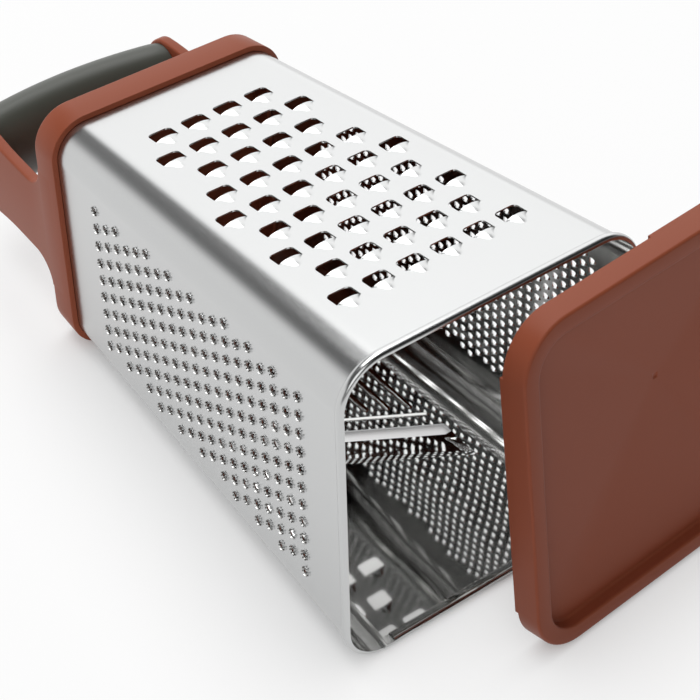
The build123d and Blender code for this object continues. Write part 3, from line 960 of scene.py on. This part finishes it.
@dataclass
class BaseCap:
    """The moulded base cap, stood on the edge of its mouth and leaning back towards the tube."""

    palette: Palette
    tube: TubeForm
    wall: float = 1.0
    depth: float = 8.4
    foot: float = 5.6
    recess: float = 4.2
    fit: float = 0.2

    def placement(self) -> Matrix:
        """Matrix from the cap's axes to the row frame."""
        across = Vector((math.cos(CAP_YAW), math.sin(CAP_YAW), 0))
        level = math.cos(CAP_LEAN)
        out = Vector((math.sin(CAP_YAW) * level, -math.cos(CAP_YAW) * level, math.sin(CAP_LEAN)))
        up = out.cross(across)
        rim_foot = -(self.tube.open_depth / 2 + self.tube.bead_overhang) * math.sin(LIE_ANGLE)
        origin = Vector((CAP_PLACE[0], rim_foot + CAP_PLACE[1], self.depth * math.sin(CAP_LEAN)))
        origin += across * (self.width / 2) + up * (self.height / 2) + ORIGIN_SHIFT
        basis = Matrix((across, up, out)).transposed().to_4x4()
        return Matrix.Scale(MILLIMETRE, 4) @ Matrix.Translation(origin) @ basis

    @property
    def margin(self) -> float:
        """Distance from the sheet's outside to the cap's outside."""
        return self.tube.bead_overhang + self.fit + self.wall

    @property
    def width(self) -> float:
        """Size of the cap across."""
        return self.tube.open_width + 2 * self.margin

    @property
    def height(self) -> float:
        """Size of the cap up its face."""
        return self.tube.open_depth + 2 * self.margin

    def ring(self, inset: float, depth: float) -> list[Vector]:
        """Closed outline at a depth, set in from the cap's outside by inset."""
        corner = self.tube.open_corner + self.margin - inset
        outline = round_outline(self.width - 2 * inset, self.height - 2 * inset, corner, 18)
        return [Vector((x, y, -depth)) for x, y in outline]

    def build(self) -> None:
        """Draws the cap."""
        skin = Skin()
        rounding, lip = 0.9, 0.25
        profile = [(self.wall, 1.5), (self.wall, self.depth - lip), (self.wall - lip, self.depth)]
        profile += [(lip, self.depth), (0.0, self.depth - lip)]
        profile += arc(rounding, rounding, rounding, math.pi, QUARTER, 7)
        profile += [(self.foot - 0.7, 0.0), (self.foot - 0.3, 0.1), (self.foot - 0.05, 0.4), (self.foot, 0.8)]
        profile += [(self.foot, self.recess - 0.9), (self.foot + 0.1, self.recess - 0.4)]
        profile += [(self.foot + 0.4, self.recess - 0.1), (self.foot + 0.9, self.recess)]
        rows = skin.stack([self.ring(inset, depth) for inset, depth in profile])
        under = [(self.wall, 1.5), (self.foot - 1.3, 1.5), (self.foot - 1.3, self.recess + 1.2)]
        unders = skin.stack([self.ring(inset, depth) for inset, depth in under])
        skin.fill(unders[-1])
        self._tray(skin, rows[-1])
        self._lugs(skin)
        settle(skin.mesh("base_cap"), "base_cap_moulding", self.placement(), Body.CAP, Slot.PLASTIC,
               [self.palette.get(TERRACOTTA)], "base_cap")

    def _tray(self, skin: Skin, edge: list[int]) -> None:
        middle, radius = Vector((0.4, 14.0, 0.0)), 1.3
        rings = []
        for share, depth in ((0.6, 0.34), (0.85, 0.12), (1.0, 0.02), (1.25, 0.0)):
            down = Vector((0, 0, self.recess + depth))
            ring = []
            for index in edge:
                away = skin.points[index] - middle
                angle = math.atan2(away.y, away.x)
                out = Vector((math.cos(angle), math.sin(angle), 0)) * (radius * share)
                ring.append(middle + out - down)
            rings.append(ring)
        rows = skin.stack(rings)
        skin.fill(rows[0])
        skin.bridge(rows[-1], edge)

    def _lugs(self, skin: Skin) -> None:
        start, end = self.depth - self.wall, self.depth + 1.1
        half, top, reach, gap, rounding = self.width / 2, self.height / 2, 41.0, 0.03, 0.25
        boxes = [
            (half - self.wall + gap, half - gap, -reach, reach),
            (gap - half, self.wall - half - gap, -reach, reach),
            (4.0, 38.0, top - self.wall + gap, top - gap),
        ]
        for low_x, high_x, low_y, high_y in boxes:
            rings = []
            for inset, depth in ((0.0, start), (0.0, end - rounding), (rounding, end)):
                left, right, low, high = low_x + inset, high_x - inset, low_y + inset, high_y - inset
                corners = ((left, low), (right, low), (right, high), (left, high))
                rings.append([(x, y, -depth) for x, y in corners])
            rows = skin.stack(rings)
            skin.fill(rows[-1])
            skin.fill(rows[0])


@dataclass
class Studio:
    """Floor, light and camera."""

    tube: TubeForm
    lens: float = 2134.5556947 / 700 * 36
    backdrop: float = 1.0
    window: float = 1.45
    ceiling: float = 0.1
    front: float = 0.2
    window_side: tuple[float, float, float] = (0.62, 0.68, 0.4)
    window_edge: tuple[float, float] = (0.84, 0.93)
    card_side: tuple[float, float, float] = (-0.54, -0.56, 0.62)
    card_edge: tuple[float, float] = (0.86, 0.94)
    backdrop_top: tuple[float, float] = (0.26, 0.44)
    backdrop_side: tuple[float, float] = (-0.25, 0.3)
    floor_glow: float = 0.9
    shade_reach: float = 0.055
    floor_half: float = 1.1
    floor_gap: float = 0.0002
    lamp_place: tuple[float, float, float] = (0.05, 0.45, 1.2)
    lamp_size: float = 0.9
    lamp_power: float = 10.0

    def build(self) -> None:
        """Sets the whole stage."""
        self.floor()
        self.lights()
        self.camera()
        scene = bpy.context.scene
        scene.view_settings.view_transform = "Standard"
        scene.view_settings.look = "None"

    def floor(self) -> None:
        """A plain pale floor. Its glow for camera and glossy rays fades with ambient occlusion near the
        object, which is painted shade; under it the floor's real lit shading and shadow show.
        """
        mesh = bpy.data.meshes.new("floor")
        size = self.floor_half
        corners = [(-size, -size, 0), (size, -size, 0), (size, size, 0), (-size, size, 0)]
        mesh.from_pydata(corners, [], [(0, 1, 2, 3)])
        material = bpy.data.materials.new("pale_floor")
        material.use_nodes = True
        tree = material.node_tree
        shader = tree.nodes["Principled BSDF"]
        preset(shader, {"Base Color": (0.92, 0.92, 0.92, 1), "Roughness": 0.8})
        glow, blend = tree.nodes.new("ShaderNodeEmission"), tree.nodes.new("ShaderNodeMixShader")
        path = tree.nodes.new("ShaderNodeLightPath").outputs
        # ambient occlusion fades the glow near the object: painted shade, which lets the floor's real shadow
        # show
        shade = preset(tree.nodes.new("ShaderNodeAmbientOcclusion"), {"Distance": self.shade_reach})
        seen = math_node(tree, "MAXIMUM", path["Is Camera Ray"], path["Is Glossy Ray"])
        share = math_node(tree, "MULTIPLY", seen, self.floor_glow)
        wire(
            tree,
            (math_node(tree, "MULTIPLY", share, shade.outputs["AO"]), blend.inputs["Fac"]),
            (shader.outputs[0], blend.inputs[1]),
            (glow.outputs[0], blend.inputs[2]),
            (blend.outputs[0], tree.nodes["Material Output"].inputs["Surface"]),
        )
        mesh.materials.append(material)
        floor = link("floor", mesh)
        floor.location.z = -self.floor_gap

    def lights(self) -> None:
        """A low white backdrop behind, a window at the right, a card at the left and an overhead lamp."""
        world = bpy.data.worlds.new("surround")
        bpy.context.scene.world = world
        world.use_nodes = True
        tree = world.node_tree
        where = tree.nodes.new("ShaderNodeTexCoord").outputs["Generated"]
        parts = tree.nodes.new("ShaderNodeSeparateXYZ")
        tree.links.new(where, parts.inputs[0])
        low = self._ramp(tree, parts.outputs["Z"], self.backdrop_top, (self.backdrop, self.ceiling))
        behind = self._ramp(tree, parts.outputs["Y"], self.backdrop_side, (self.front, 1.0))
        window = self._round(tree, where, self.window_side, self.window_edge)
        card = self._round(tree, where, self.card_side, self.card_edge)
        level = math_node(tree, "MULTIPLY", low, behind)
        seen = tree.nodes.new("ShaderNodeLightPath").outputs["Is Camera Ray"]
        for patch in (window, card, seen):
            level = math_node(tree, "MAXIMUM", level, patch)
        sky = tree.nodes["Background"]
        sky.inputs["Color"].default_value = (1, 1, 1, 1)
        tree.links.new(level, sky.inputs["Strength"])
        self.lamp("overhead")

    def _round(self, tree: bpy.types.NodeTree, where, side: tuple, edge: tuple) -> bpy.types.NodeSocket:
        """A round bright patch of the surround in one direction."""
        facing = preset(tree.nodes.new("ShaderNodeVectorMath"), {1: Vector(side).normalized()})
        facing.operation = "DOT_PRODUCT"
        tree.links.new(where, facing.inputs[0])
        return self._ramp(tree, facing.outputs["Value"], edge, (0.0, self.window))

    @staticmethod
    def _ramp(tree: bpy.types.NodeTree, value, edges: tuple, levels: tuple) -> bpy.types.NodeSocket:
        ramp = tree.nodes.new("ShaderNodeMapRange")
        ramp.interpolation_type = "SMOOTHSTEP"
        preset(ramp, dict(zip(("From Min", "From Max", "To Min", "To Max"), (*edges, *levels))))
        tree.links.new(value, ramp.inputs["Value"])
        return ramp.outputs["Result"]

    def lamp(self, name: str) -> None:
        """One square area light that looks at the origin."""
        light = bpy.data.lights.new(name, "AREA")
        light.size = self.lamp_size
        light.energy = self.lamp_power
        obj = link(name, light)
        obj.location = self.lamp_place
        obj.rotation_mode = "QUATERNION"
        obj.rotation_quaternion = (-Vector(self.lamp_place)).to_track_quat("-Z", "Y")

    def camera(self) -> None:
        """The photograph's camera, found from the object's straight edges."""
        place = Vector((-291.82236121, -400.41428329, -326.21832485))
        rows = (
            (0.7910773681, 0.0205699954, -0.6113701603),
            (-0.4038311394, 0.7682604644, -0.4966852824),
            (0.4594747093, 0.6398067944, 0.6160602709),
        )
        right, down, ahead = (Vector(row) for row in rows)
        basis = Matrix((right, -down, -ahead)).transposed()
        whole = self.tube.placement()
        turn = (whole.to_3x3() * (1 / MILLIMETRE)) @ basis
        data = bpy.data.cameras.new("photo_camera")
        data.lens = self.lens
        data.sensor_width = 36
        data.clip_start, data.clip_end = 0.01, 20
        camera = link("photo_camera", data)
        camera.matrix_world = Matrix.Translation(whole @ place) @ turn.to_4x4()
        bpy.context.scene.camera = camera


def main() -> None:
    """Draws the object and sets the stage."""
    palette = Palette()
    tube = TubeForm()
    SteelBody(tube, palette, Scatter()).build()
    TopFrame(tube, palette).build()
    Grip(tube, palette).build()
    BaseCap(palette, tube).build()
    Studio(tube).build()


if __name__ == "__main__":
    main()
